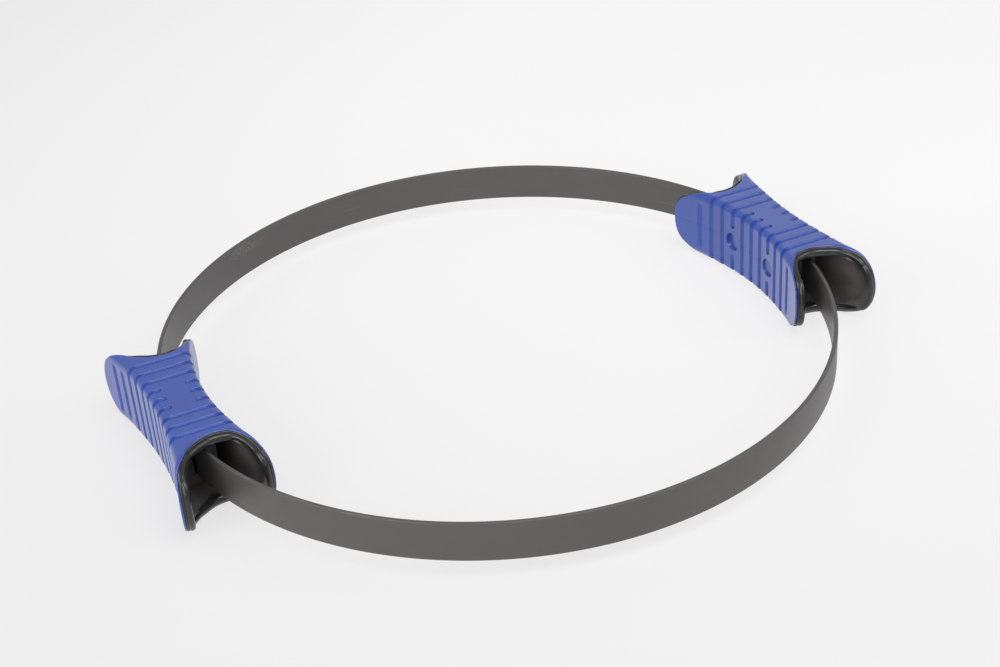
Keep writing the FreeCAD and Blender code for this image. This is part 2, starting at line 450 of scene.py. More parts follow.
class RubLines(EffectGroup):
    """Thin lines rubbed along a surface, many faint ones and a few that stand out."""

    name = "rub_lines"
    numbers = {"Along Scale": 9.0, "Cross Scale": 1500.0}
    results = ("Brush", "Scratches")
    brush_detail = 5.0
    brush_roughness = 0.65
    scratch_scale = 0.37
    scratch_edges = (0.64, 0.72)
    patch_scale = 38.0
    patch_edges = (0.5, 0.62)
    sparse_detail = 2.0

    def draw(self, sheet: NodeSheet, given: Sockets, wanted: Sockets) -> None:
        """Noise drawn out along the vector's X; scratches are its narrow peaks, broken by patches.

        Args:
            sheet: The group's nodes.
            given: The group's inputs.
            wanted: The group's outputs.
        """
        parts = sheet.add("ShaderNodeSeparateXYZ", {"Vector": given["Vector"]}).outputs
        scales = {"X": "Along Scale", "Y": "Cross Scale", "Z": "Cross Scale"}
        scaled = {axis: sheet.math("MULTIPLY", parts[axis], given[scale]) for axis, scale in scales.items()}
        drawn = sheet.add("ShaderNodeCombineXYZ", scaled).outputs[0]
        line = sheet.noise(drawn, self.scratch_scale, self.sparse_detail)
        patch = sheet.noise(given["Vector"], self.patch_scale, self.sparse_detail)
        shares = sheet.remap(line, *self.scratch_edges), sheet.remap(patch, *self.patch_edges)
        sheet.feed(wanted["Brush"], sheet.noise(drawn, 1.0, self.brush_detail, self.brush_roughness))
        sheet.feed(wanted["Scratches"], sheet.math("MULTIPLY", *shares))


MOULD_GRAIN = MouldGrain()
RUB_LINES = RubLines()


@dataclass(frozen=True)
class Finish:
    """A surface finish: a Principled material whose nodes a kind of finish adds."""

    name: str
    colour: RGB
    roughness: float
    ior: float = 1.5
    metallic: float = 0.0
    grain_scale: float = 2000.0
    mottle_scale: float = 60.0
    dark: float = 0.85
    light: float = 1.2
    smoother: float = 0.05
    duller: float = 0.08
    bump_strength: float = 0.2
    bump_depth: float = 0.1 * MM

    def material(self) -> bpy.types.Material:
        """The finish's material, made at its first use.

        Returns:
            The material.
        """
        made = bpy.data.materials.get(self.name)
        if made is None:
            made = bpy.data.materials.new(self.name)
            made.use_nodes = True
            made.diffuse_color = self.shade(1.0)
            sheet = NodeSheet(made.node_tree)
            shader = made.node_tree.nodes["Principled BSDF"].inputs
            sheet.feed(shader["IOR"], self.ior)
            sheet.feed(shader["Metallic"], self.metallic)
            self.draw(sheet, shader, sheet.add("ShaderNodeTexCoord").outputs)
        return made

    def draw(self, sheet: NodeSheet, shader: Sockets, place: Sockets) -> None:
        """Adds the finish's own nodes.

        Args:
            sheet: The material's nodes.
            shader: The shader's inputs.
            place: The surface's coordinates.
        """
        raise NotImplementedError

    def shade(self, factor: float) -> tuple[float, float, float, float]:
        """The finish's colour made lighter or darker by a factor."""
        return tuple(min(1.0, part * factor) for part in self.colour) + (1.0,)

    def grain(self, sheet: NodeSheet, place: Sockets) -> Sockets:
        """Grain and mottle over the piece, at the finish's scales."""
        return MOULD_GRAIN.place(sheet, place["Object"], self.grain_scale, self.mottle_scale)

    def toned(self, sheet: NodeSheet, share: Socket) -> Socket:
        """The finish's colour, from its dark tone to its light one by a share."""
        return sheet.mix(share, self.shade(self.dark), self.shade(self.light))

    def worn(self, sheet: NodeSheet, share: Socket, low: float = 0.0, high: float = 1.0) -> Socket:
        """The finish's roughness, from smoother to duller as a share goes from low to high."""
        return sheet.remap(share, low, high, self.roughness - self.smoother, self.roughness + self.duller)

    def bump(self, sheet: NodeSheet, shader: Sockets, height: Socket) -> None:
        """Turns a height over the surface into the shader's normal."""
        inputs = {"Height": height, "Strength": self.bump_strength, "Distance": self.bump_depth}
        sheet.feed(shader["Normal"], sheet.add("ShaderNodeBump", inputs).outputs["Normal"])


@dataclass(frozen=True)
class GripRubber(Finish):
    """Soft moulded rubber: satin, paler in patches, with a hairline where the mould parted."""

    grain_scale: float = 2400.0
    mottle_scale: float = 48.0
    dark: float = 0.94
    light: float = 1.08
    smoother: float = 0.04
    duller: float = 0.05
    bump_strength: float = 0.25
    bump_depth: float = 0.12 * MM
    line_colour: RGB = (0.012, 0.03, 0.15)
    line_share: float = 0.55
    line_half_width: float = 0.16 * MM
    line_fade: float = 0.4 * MM
    land_coat: float = 0.75
    groove_coat: float = 0.2
    groove_dull: float = 0.15
    coat_roughness: float = 0.28

    def draw(self, sheet: NodeSheet, shader: Sockets, place: Sockets) -> None:
        """Colour and roughness by mottle, a gloss coat that is thin in the grooves, and grain as bump.

        Args:
            sheet: The material's nodes.
            shader: The shader's inputs.
            place: The surface's coordinates.
        """
        grain = self.grain(sheet, place)
        groove = sheet.attribute("groove")
        height = sheet.add("ShaderNodeSeparateXYZ", {"Vector": place["Object"]}).outputs["Z"]
        off = sheet.math("ABSOLUTE", height)
        line = sheet.remap(off, self.line_half_width, self.line_fade, self.line_share, 0.0)
        dull = sheet.math("MULTIPLY", groove, self.groove_dull)
        skin = sheet.mix(line, self.toned(sheet, grain["Mottle"]), (*self.line_colour, 1.0))
        sheet.feed(shader["Base Color"], skin)
        sheet.feed(shader["Roughness"], sheet.math("ADD", self.worn(sheet, grain["Mottle"]), dull))
        sheet.feed(shader["Coat Weight"], sheet.remap(groove, 0.0, 1.0, self.land_coat, self.groove_coat))
        sheet.feed(shader["Coat Roughness"], self.coat_roughness)
        self.bump(sheet, shader, grain["Grain"])


@dataclass(frozen=True)
class LipPlastic(Finish):
    """Hard glossy moulded plastic with faint flow marks, duller inside the handle and paler there as
    painted fill light.
    """

    grain_scale: float = 900.0
    mottle_scale: float = 70.0
    smoother: float = 0.04
    bump_strength: float = 0.12
    speck_colour: RGB = (0.12, 0.118, 0.115)
    speck_scale: float = 420.0
    speck_edges: Pair = (0.69, 0.74)
    speck_share: float = 0.7
    patch_scale: float = 60.0
    patch_edges: Pair = (0.52, 0.62)
    speck_detail: float = 2.0
    # The paler colour inside the handle is painted fill light, varied by the mottle down to a least share.
    painted_fill_colour: RGB = (0.085, 0.078, 0.075)
    painted_fill_least: float = 0.75
    inside_roughness: float = 0.5

    def draw(self, sheet: NodeSheet, shader: Sockets, place: Sockets) -> None:
        """Near black, with sparse pale specks, paler inside as painted fill light, and gloss varying with
        the mottle, dull inside.

        Args:
            sheet: The material's nodes.
            shader: The shader's inputs.
            place: The surface's coordinates.
        """
        grain = self.grain(sheet, place)
        inside = sheet.attribute("inside")
        spots = sheet.noise(place["Object"], self.speck_scale, self.speck_detail)
        patches = sheet.noise(place["Object"], self.patch_scale, self.speck_detail)
        specks = sheet.remap(spots, *self.speck_edges, 0.0, self.speck_share)
        specks = sheet.math("MULTIPLY", specks, sheet.remap(patches, *self.patch_edges))
        # Inside the handle the colour pales by the inside share: painted fill light where little light gets
        # in.
        painted_fill_mottle = sheet.remap(grain["Mottle"], 0.0, 1.0, self.painted_fill_least, 1.0)
        painted_fill = sheet.math("MULTIPLY", inside, painted_fill_mottle)
        skin = sheet.mix(painted_fill, self.toned(sheet, grain["Mottle"]), (*self.painted_fill_colour, 1.0))
        dull = sheet.math("MULTIPLY", inside, self.inside_roughness - self.roughness)
        sheet.feed(shader["Base Color"], sheet.mix(specks, skin, (*self.speck_colour, 1.0)))
        sheet.feed(shader["Roughness"], sheet.math("ADD", self.worn(sheet, grain["Mottle"]), dull))
        self.bump(sheet, shader, grain["Grain"])


@dataclass(frozen=True)
class SleeveVinyl(Finish):
    """Satin sleeve over the strip, brushed along its length, with scratches and a rubbed patch."""

    mottle_scale: float = 30.0
    dark: float = 0.86
    light: float = 1.16
    duller: float = 0.1
    bump_strength: float = 0.12
    bump_depth: float = 0.08 * MM
    along_scale: float = 14.0
    cross_scale: float = 2600.0
    scratch_colour: RGB = (0.20, 0.195, 0.185)
    scratch_share: float = 0.5
    rub_place: Point = (-0.0895, 0.155, 0.006)
    rub_shape: Point = (1.0, 1.0, 4.0)
    rub_reach: float = 21.0 * MM
    rub_core: float = 0.3
    scuff_scale: float = 700.0
    scuff_detail: float = 4.0
    scuff_edges: Pair = (0.48, 0.66)
    scuff_share: float = 0.55
    mottle_wear: float = 0.4
    wear_edges: Pair = (0.3, 1.1)

    def draw(self, sheet: NodeSheet, shader: Sockets, place: Sockets) -> None:
        """Colour and roughness by brush lines on the sleeve's own map, with scratches and one scuffed rub.

        Args:
            sheet: The material's nodes.
            shader: The shader's inputs.
            place: The surface's coordinates.
        """
        lines = RUB_LINES.place(sheet, place["UV"], self.along_scale, self.cross_scale)
        grain = self.grain(sheet, place)
        pale = (*self.scratch_colour, 1.0)
        scratches = sheet.math("MULTIPLY", lines["Scratches"], self.scratch_share)
        skin = sheet.mix(scratches, self.toned(sheet, lines["Brush"]), pale)
        way = sheet.vectors("SUBTRACT", place["Object"], self.rub_place)[0]
        off = sheet.vectors("LENGTH", sheet.vectors("MULTIPLY", way, self.rub_shape)[0])["Value"]
        near = sheet.remap(off, self.rub_core * self.rub_reach, self.rub_reach, 1.0, 0.0)
        spots = sheet.noise(place["Object"], self.scuff_scale, self.scuff_detail)
        scuff = sheet.remap(spots, *self.scuff_edges, 0.0, self.scuff_share)
        wear = sheet.math("ADD", lines["Brush"], sheet.math("MULTIPLY", grain["Mottle"], self.mottle_wear))
        sheet.feed(shader["Base Color"], sheet.mix(sheet.math("MULTIPLY", near, scuff), skin, pale))
        sheet.feed(shader["Roughness"], self.worn(sheet, wear, *self.wear_edges))
        self.bump(sheet, shader, lines["Brush"])


@dataclass(frozen=True)
class BrightSteel(Finish):
    """Plated or rolled steel with fine lines and faint darker patches."""

    metallic: float = 1.0
    mottle_scale: float = 160.0
    light: float = 1.08
    smoother: float = 0.08
    duller: float = 0.12
    bump_strength: float = 0.15
    bump_depth: float = 0.05 * MM
    along_scale: float = 40.0
    cross_scale: float = 1800.0
    wear_edges: Pair = (0.2, 0.8)

    def draw(self, sheet: NodeSheet, shader: Sockets, place: Sockets) -> None:
        """Colour by mottle, roughness and bump by brush lines.

        Args:
            sheet: The material's nodes.
            shader: The shader's inputs.
            place: The surface's coordinates.
        """
        lines = RUB_LINES.place(sheet, place["Object"], self.along_scale, self.cross_scale)
        sheet.feed(shader["Base Color"], self.toned(sheet, self.grain(sheet, place)["Mottle"]))
        sheet.feed(shader["Roughness"], self.worn(sheet, lines["Brush"], *self.wear_edges))
        self.bump(sheet, shader, lines["Brush"])


@dataclass(frozen=True)
class BlockPlastic(Finish):
    """Dull moulded plastic of the clamp blocks."""

    grain_scale: float = 1500.0
    mottle_scale: float = 90.0
    bump_strength: float = 0.3
    bump_depth: float = 0.2 * MM

    def draw(self, sheet: NodeSheet, shader: Sockets, place: Sockets) -> None:
        """Colour and roughness by mottle, with coarse grain as bump.

        Args:
            sheet: The material's nodes.
            shader: The shader's inputs.
            place: The surface's coordinates.
        """
        grain = self.grain(sheet, place)
        sheet.feed(shader["Base Color"], self.toned(sheet, grain["Mottle"]))
        sheet.feed(shader["Roughness"], self.worn(sheet, grain["Mottle"]))
        self.bump(sheet, shader, grain["Grain"])


@dataclass(frozen=True)
class FloorPaper(Finish):
    """Matt pale backdrop paper, with a pale glow mixed in where it is seen or mirrored."""

    mottle_scale: float = 1.5
    dark: float = 0.995
    light: float = 1.005
    specular_level: float = 0.1
    glow: RGB = (0.95, 0.944, 0.944)
    seen_share: float = 0.8
    mirrored_share: float = 0.9
    centre: Point = (0.35, 0.28, 0.0)
    bright_reach: float = 0.25
    dim_reach: float = 0.95
    dim_level: float = 0.83

    def draw(self, sheet: NodeSheet, shader: Sockets, place: Sockets) -> None:
        """Almost even, with a slow mottle, and a little dimmer away from its bright centre: a painted
        falloff of light.

        Args:
            sheet: The material's nodes.
            shader: The shader's inputs.
            place: The surface's coordinates.
        """
        # Painted falloff of light: paper colour and glow dim away from the centre.
        off = sheet.vectors("DISTANCE", place["Object"], self.centre)["Value"]
        dim = sheet.remap(off, self.bright_reach, self.dim_reach)
        even = self.toned(sheet, self.grain(sheet, place)["Mottle"])
        sheet.feed(shader["Base Color"], sheet.mix(dim, even, self.shade(self.dim_level)))
        sheet.feed(shader["Roughness"], self.roughness)
        sheet.feed(shader["Specular IOR Level"], self.specular_level)
        dim_glow = tuple(part * self.dim_level for part in self.glow)
        pale = sheet.mix(dim, (*self.glow, 1.0), (*dim_glow, 1.0))
        glow = sheet.add("ShaderNodeEmission", {"Color": pale, "Strength": 1.0}).outputs[0]
        path = sheet.add("ShaderNodeLightPath").outputs
        seen = sheet.math("MULTIPLY", path["Is Camera Ray"], self.seen_share)
        mirrored = sheet.math("MULTIPLY", path["Is Glossy Ray"], self.mirrored_share)
        nodes = sheet.tree.nodes
        paper = nodes["Principled BSDF"].outputs[0]
        shares = {0: sheet.math("MAXIMUM", seen, mirrored), 1: paper, 2: glow}
        both = sheet.add("ShaderNodeMixShader", shares).outputs[0]
        sheet.feed(nodes["Material Output"].inputs["Surface"], both)


GRIP_RUBBER = GripRubber("ribbed_rubber", (0.024, 0.064, 0.325), 0.36)
LIP_PLASTIC = LipPlastic("gloss_plastic", (0.022, 0.0215, 0.021), 0.19)
SLEEVE_VINYL = SleeveVinyl("brushed_vinyl", (0.077, 0.075, 0.0725), 0.4)
STRIP_STEEL = BrightSteel("rolled_steel", (0.34, 0.34, 0.35), 0.34)
ZINC_STEEL = BrightSteel("plated_steel", (0.62, 0.63, 0.64), 0.3)
BLOCK_PLASTIC = BlockPlastic("dull_plastic", (0.06, 0.057, 0.055), 0.5)
FLOOR_PAPER = FloorPaper("floor_paper", (0.9, 0.9, 0.9), 0.9)


@dataclass(frozen=True)
class HandleForm:
    """The waisted form that a handle's grip and core share, as the right handle lies."""

    radius: float = 175.5 * MM
    waist: float = 13.7 * MM
    outer_curve: float = 260.0 * MM
    inner_curve: float = 166.0 * MM
    half_height: float = 21.0 * MM
    waist_dip: float = 0.5 * MM
    edge_radius: float = 3.6 * MM
    mouth_round: float = 1.6 * MM
    round_start: float = 26.0 * MM
    mean_half_width: float = 16.0 * MM
    mouth_reach: float = 41.2 * MM
    mouth_shift: float = 4.5 * MM
    corner_reach: float = 53.0 * MM
    inner_corner: float = 48.8 * MM
    outer_corner: float = 56.8 * MM
    inner_tongue: float = 64.9 * MM
    outer_tongue: float = 69.0 * MM
    inner_fullness: float = 0.5
    outer_fullness: float = 0.6
    side_ease: float = 10.0 * MM
    parabola_share: float = 0.5
    wall_lift: float = 16.0 * MM
    wall_power: float = 20.0
    rim_softness: float = 1.0 * MM
    rim_evening: float = 2.0 * MM
    rim_samples: int = 2048
    tongue_start: float = 0.45
    tongue_full: float = 0.95
    edge_evening: float = 4.5 * MM
    run_evening: float = 0.3
    small_step: float = 0.05 * MM

    def stops(self) -> np.ndarray:
        """Where flats and corners start round the handle, from the middle of the top and outwards.

        Returns:
            The ways round to each start, and the whole way round.
        """
        half_flat = self.mean_half_width - self.edge_radius
        wall = 2.0 * (self.half_height - self.edge_radius)
        corner = 0.5 * math.pi * self.edge_radius
        runs = [half_flat, corner, wall, corner, 2.0 * half_flat, corner, wall, corner, half_flat]
        return np.concatenate([[0.0], np.cumsum(runs)])

    @property
    def girth(self) -> float:
        """The way once round the handle at its mean width."""
        return float(self.stops()[-1])

    @property
    def inner_middle(self) -> float:
        """The way round to the middle of the inner wall, which is the seventh run."""
        return float(self.stops()[6:8].mean())

    def around(self, girth: np.ndarray) -> tuple[np.ndarray, np.ndarray, np.ndarray]:
        """Splits a way round the handle into a place on its flats and a turn round its corners.

        Args:
            girth: Distance round the handle from the middle of the top.

        Returns:
            Share across the flats and share up the walls, each from -1 to 1, and the normal's turn from
            straight up.
        """
        stops = self.stops()
        way = np.mod(girth, stops[-1])
        across = np.interp(way, stops, [0, 1, 1, 1, 1, -1, -1, -1, -1, 0])
        up = np.interp(way, stops, [1, 1, 1, -1, -1, -1, -1, 1, 1, 1])
        turn = np.interp(way, stops, 0.5 * math.pi * np.array([0, 0, 1, 1, 2, 2, 3, 3, 4, 4]))
        return across, up, turn

    def mean_section(self, girth: np.ndarray) -> tuple[np.ndarray, np.ndarray]:
        """Places across and up the handle at its mean width.

        Args:
            girth: Distance round the handle.

        Returns:
            Distance outwards and distance up.
        """
        across, up, turn = self.around(girth)
        lateral = across * (self.mean_half_width - self.edge_radius) + self.edge_radius * np.sin(turn)
        rise = up * (self.half_height - self.edge_radius) + self.edge_radius * np.cos(turn)
        return lateral, rise

    def half_width(self, along: np.ndarray, curve: float) -> np.ndarray:
        """Centre line to the skin of a side: the waist and the sag of that side's circle."""
        return self.waist + curve - np.sqrt(curve**2 - along**2)

    def place(
        self,
        girth: np.ndarray,
        along: np.ndarray,
        inset: np.ndarray | float,
        corner: np.ndarray | float,
    ) -> np.ndarray:
        """Points of the handle: a rounded box whose sides are the two waist curves, drawn in by inset.

        Args:
            girth: Distance round the handle.
            along: Distance along the handle from its middle.
            inset: Depth under the skin.
            corner: Radius of the long edges there.

        Returns:
            Points, with the three coordinates last.
        """
        girth, along, inset, corner = np.broadcast_arrays(girth, along, inset, corner)
        across, up, turn = self.around(girth)
        outer = self.half_width(along, self.outer_curve)
        inner = self.half_width(along, self.inner_curve)
        half = 0.5 * (outer + inner) - inset
        dip = self.waist_dip * np.clip(1.0 - (along / self.corner_reach) ** 2, 0.0, 1.0)
        high = self.half_height - dip - inset
        lateral = 0.5 * (outer - inner) + across * (half - corner) + corner * np.sin(turn)
        rise = up * (high - corner) + corner * np.cos(turn)
        return np.stack([self.radius + lateral, along, rise], axis=-1)

    def corner(self, along: np.ndarray) -> np.ndarray:
        """Radius of the long edges, which are rounder towards the mouths."""
        rounder = smoothstep(self.round_start, self.corner_reach, np.abs(along))
        return self.edge_radius + self.mouth_round * rounder

    def tongue_share(self, girth: np.ndarray) -> np.ndarray:
        """How far the mouth's edge has gone from the valley, at 0, to the wall of a tongue, at 1."""
        wide = np.abs(self.mean_section(girth)[0]) / self.mean_half_width
        return smoothstep(self.tongue_start, self.tongue_full, wide)

    def rim(self, girth: np.ndarray) -> tuple[np.ndarray, np.ndarray, np.ndarray]:
        """The mouth's edge: the lesser of a valley across the handle and a full tongue up it, run together.

        The valley is the mouth's reach plus a share of a parabola and a share of an ellipse across it, and
        a high power that lifts it off the side walls. The tongue is the corner's reach plus a rise of
        (1 - height squared) to a power under one, and the outer tongue goes further than the inner. Their
        soft minimum is minus the log of the sum of their falling exponentials, evened round the handle.

        Args:
            girth: Distances round the handle.

        Returns:
            Reach of the edge along the handle, and the edge's outward normal as its parts round and along.
        """
        fine = np.linspace(0.0, self.girth, self.rim_samples, endpoint=False)
        lateral, rise = self.mean_section(fine)
        off = lateral + self.mouth_shift
        span = self.mean_half_width + np.sign(off) * self.mouth_shift
        wide = np.clip(np.abs(off / span), 0.0, 1.0)
        ellipse = 1.0 - np.sqrt(1.0 - wide**2)
        bowl = self.parabola_share * wide**2 + (1.0 - self.parabola_share) * ellipse
        deep = np.where(off > 0.0, self.outer_corner, self.inner_corner) - self.mouth_reach
        valley = self.mouth_reach + deep * bowl + self.wall_lift * wide**self.wall_power
        outward = smoothstep(-self.side_ease, self.side_ease, lateral)
        base = self.inner_corner + (self.outer_corner - self.inner_corner) * outward
        tip = self.inner_tongue + (self.outer_tongue - self.inner_tongue) * outward
        fullness = self.inner_fullness + (self.outer_fullness - self.inner_fullness) * outward
        share = np.clip(1.0 - (rise / self.half_height) ** 2, 0.0, 1.0)
        tongue = base + (tip - base) * share**fullness
        soft = self.rim_softness
        reach = -soft * np.logaddexp(-valley / soft, -tongue / soft)
        reach = evened(reach[:, None], self.rim_evening * self.rim_samples / self.girth)[:, 0]
        slope = np.gradient(np.concatenate([reach[-1:], reach, reach[:1]]), fine[1])[1:-1]
        length = np.sqrt(1.0 + slope**2)
        parts = (reach, -slope / length, 1.0 / length)
        return tuple(np.interp(girth, fine, part, period=self.girth) for part in parts)

    def edge_frame(self, girth: np.ndarray) -> tuple[np.ndarray, np.ndarray, np.ndarray]:
        """Points of the mouth's edge, with a direction out of the skin and one out of the mouth at each.

        The skin's normal is its step round the handle crossed with its step along it, both by small
        differences. It is evened round the corners and made square to the edge, and crossed with the
        edge's run it points out of the mouth.

        Args:
            girth: Evenly spaced ways once round the handle.

        Returns:
            Points, unit normals, and unit vectors out of the mouth.
        """
        reach = self.rim(girth)[0]
        step = self.small_step
        skin = [
            self.place(girth + over, reach + ahead, 0.0, self.corner(reach + ahead))
            for over, ahead in ((step, 0.0), (-step, 0.0), (0.0, step), (0.0, -step))
        ]
        edge = self.place(girth, reach, 0.0, self.corner(reach))
        spread = self.edge_evening * len(girth) / self.girth
        chord = np.roll(edge, -1, axis=0) - np.roll(edge, 1, axis=0)
        run = unit(evened(chord, self.run_evening * spread))
        normal = evened(unit(np.cross(skin[0] - skin[1], skin[2] - skin[3])), spread)
        normal = unit(normal - np.sum(normal * run, axis=-1, keepdims=True) * run)
        return edge, normal, np.cross(normal, run)

    def at_rim(self, girth: np.ndarray, past: float) -> tuple[np.ndarray, np.ndarray]:
        """Ways round and along the handle at a distance past its edge, square to the edge."""
        reach, round_part, along_part = self.rim(girth)
        return girth + past * round_part, reach + past * along_part


@dataclass(frozen=True)
class GripPattern:
    """Thickness, grooves, bare panel and screw recesses of a grip, and where its rows are closest."""

    thickness: float = 2.2 * MM
    pitch: float = 9.1 * MM
    width: float = 3.0 * MM
    depth: float = 0.9 * MM
    softness: float = 0.4 * MM
    corner_extra: float = 1.8 * MM
    last_full: int = 4
    last_short: int = 1
    last_inner: int = 5
    last_outer: int = 6
    screw_groove: int = 2
    panel_half_width: float = 6.5 * MM
    end_half_height: float = 15.5 * MM
    land_half_height: float = 9.0 * MM
    recess_radius: float = 5.3 * MM
    recess_depth: float = 2.1 * MM
    recess_fall: float = 0.15 * MM
    recess_brim: float = 0.2 * MM
    recess_round: float = 0.4 * MM
    recess_reach: float = 7.0 * MM
    rim_roll: float = 1.0 * MM
    wall_lines: tuple[float, ...] = (-1.6, -1.0, -0.55, -0.2, 0.2, 0.55, 1.0, 1.6)
    land_start: float = 2.4
    land_lines: int = 3
    floor_lines: Pair = (1.3 * MM, 2.6 * MM)
    edge_lines: tuple[float, ...] = (-1.2, -0.5, -0.2, 0.0, 0.2, 0.5)
    outer_line: float = 6.2 * MM
    least_step: float = 0.1 * MM

    @property
    def plain_reach(self) -> float:
        """Handle's middle to where the end zones start, past the last groove that goes all round."""
        return self.last_full * self.pitch + 0.5 * self.width + 2.0 * self.softness

    @property
    def screw_reach(self) -> float:
        """Handle's middle to the centre of a screw recess."""
        return self.screw_groove * self.pitch

    def overrun(self, number: int, lateral: np.ndarray, rise: np.ndarray) -> np.ndarray:
        """How far a point lies past the end of a groove's middle line.

        Args:
            number: The groove, counted from the handle's middle.
            lateral: Place across the handle, outwards.
            rise: Place up the handle.

        Returns:
            Distance past the groove's end, zero along its run.
        """
        past = np.zeros_like(lateral)
        half = 0.5 * self.width
        if abs(number) <= self.last_short:
            past = np.maximum(past, self.panel_half_width + half - np.abs(lateral))
        if abs(number) == self.screw_groove:
            land = self.land_half_height + half - np.abs(rise)
            past = np.where(lateral < 0.0, np.maximum(past, land), past)
        if abs(number) > self.last_full:
            past = np.maximum(past, np.abs(rise) - self.end_half_height + half)
        if abs(number) > self.last_inner:
            past = np.where(lateral < 0.0, self.pitch, past)
        return past

    def grooves(self, along: np.ndarray, lateral: np.ndarray, rise: np.ndarray) -> np.ndarray:
        """Share of the full groove depth: flat floors with soft walls and round ends.

        A groove's share falls from 1 to 0 over the softness each side of half its width, by the distance
        from its middle line, which is the root of the squared distance along the handle plus the squared
        overrun past its end.

        Args:
            along: Place along the handle.
            lateral: Place across the handle.
            rise: Place up the handle.

        Returns:
            Share of the groove depth at each point.
        """
        half = 0.5 * self.width
        share = np.zeros_like(along)
        for number in range(-self.last_outer, self.last_outer + 1):
            away = np.hypot(along - number * self.pitch, self.overrun(number, lateral, rise))
            share = np.maximum(share, 1.0 - smoothstep(half - self.softness, half + self.softness, away))
        return share

    def rows(self) -> np.ndarray:
        """Places along the middle of the handle, close together at groove walls and recess edges.

        Returns:
            The places in order.
        """
        half = 0.5 * self.width
        wall = half + self.softness * np.array(self.wall_lines)
        land = np.linspace(half + self.land_start * self.softness, 0.5 * self.pitch, self.land_lines)
        near = np.concatenate([wall, land])
        groove = np.concatenate([-near[::-1], [0.0], near])
        numbers = np.arange(-self.last_full, self.last_full + 1) * self.pitch
        screws = np.array([[-self.screw_reach], [self.screw_reach]])
        places = [numbers[:, None] + groove, screws + self.recess_lines()]
        return thinned(np.concatenate([part.ravel() for part in places]), self.least_step, self.plain_reach)

    def recess_lines(self) -> np.ndarray:
        """Offsets from a recess's centre for rows and columns, close together at its edge.

        Returns:
            The offsets in order.
        """
        edge = self.recess_radius + np.array(self.edge_lines) * MM
        side = np.concatenate([self.floor_lines, edge, [self.outer_line, self.recess_reach]])
        return np.concatenate([-side[::-1], [0.0], side])


@dataclass(frozen=True)
class LipSection:
    """The lip's section at one kind of place: a thin ring at the grip's edge, and a bead behind it."""

    ring_past: float
    ring_depth: float
    ring_radius: float
    bead_past: float
    bead_depth: float
    bead_radius: float


@dataclass(frozen=True)
class LipForm:
    """The core's shell and its lip, by distance past the grip's edge and depth under the skin."""

    valley: LipSection = LipSection(0.9 * MM, 0.9 * MM, 0.75 * MM, 0.9 * MM, 3.4 * MM, 2.3 * MM)
    tongue: LipSection = LipSection(-0.5 * MM, 2.0 * MM, 0.7 * MM, -1.1 * MM, 3.8 * MM, 1.7 * MM)
    ring_swing: Pair = (0.8 * math.pi, -0.4 * math.pi)
    ring_rows: int = 16
    bead_swing: Pair = (0.4 * math.pi, -0.5 * math.pi)
    bead_rows: int = 18
    shoulder: float = 1.0 * MM
    under_grip: float = 2.26 * MM
    grip_clear: float = 0.06 * MM
    inside_depth: float = 4.6 * MM
    inside_run: float = 6.0 * MM
    inside_rows: int = 8
    mouth_corner: float = 6.5 * MM
    waist_corner: float = 2.0 * MM
    seat_reach: float = 28.0 * MM

    def outline(self, share: np.ndarray) -> tuple[np.ndarray, np.ndarray]:
        """The lip's outline: up the shoulder under the grip, round the ring and round the bead.

        Each circle's centre and radius go from the valley's to the tongue's by the share. A point on a
        circle lies past the edge by the cosine of its swing and nearer the skin by the sine. Beside the
        grip it stays clear of it.

        Args:
            share: For each place on the edge, 0 in the valley and 1 on a tongue.

        Returns:
            Distances past the edge, and depths under the skin.
        """
        low = np.array(astuple(self.valley))[:, None]
        high = np.array(astuple(self.tongue))[:, None]
        sizes = low + (high - low) * share
        even = np.zeros_like(share)[None, :]
        pasts = [even - self.shoulder, even + self.grip_clear]
        depths = [even + self.under_grip, even + self.under_grip]
        ring = (sizes[:3], self.ring_swing, self.ring_rows)
        bead = (sizes[3:], self.bead_swing, self.bead_rows)
        for (centre_past, centre_depth, circle), ends, rows in (ring, bead):
            swing = np.linspace(*ends, rows)[:, None]
            pasts.append(centre_past + circle * np.cos(swing))
            depths.append(centre_depth - circle * np.sin(swing))
        past = np.concatenate(pasts)
        depth = np.concatenate(depths)
        past[1:] = np.where(depth[1:] < self.under_grip, np.maximum(past[1:], self.grip_clear), past[1:])
        return past, depth


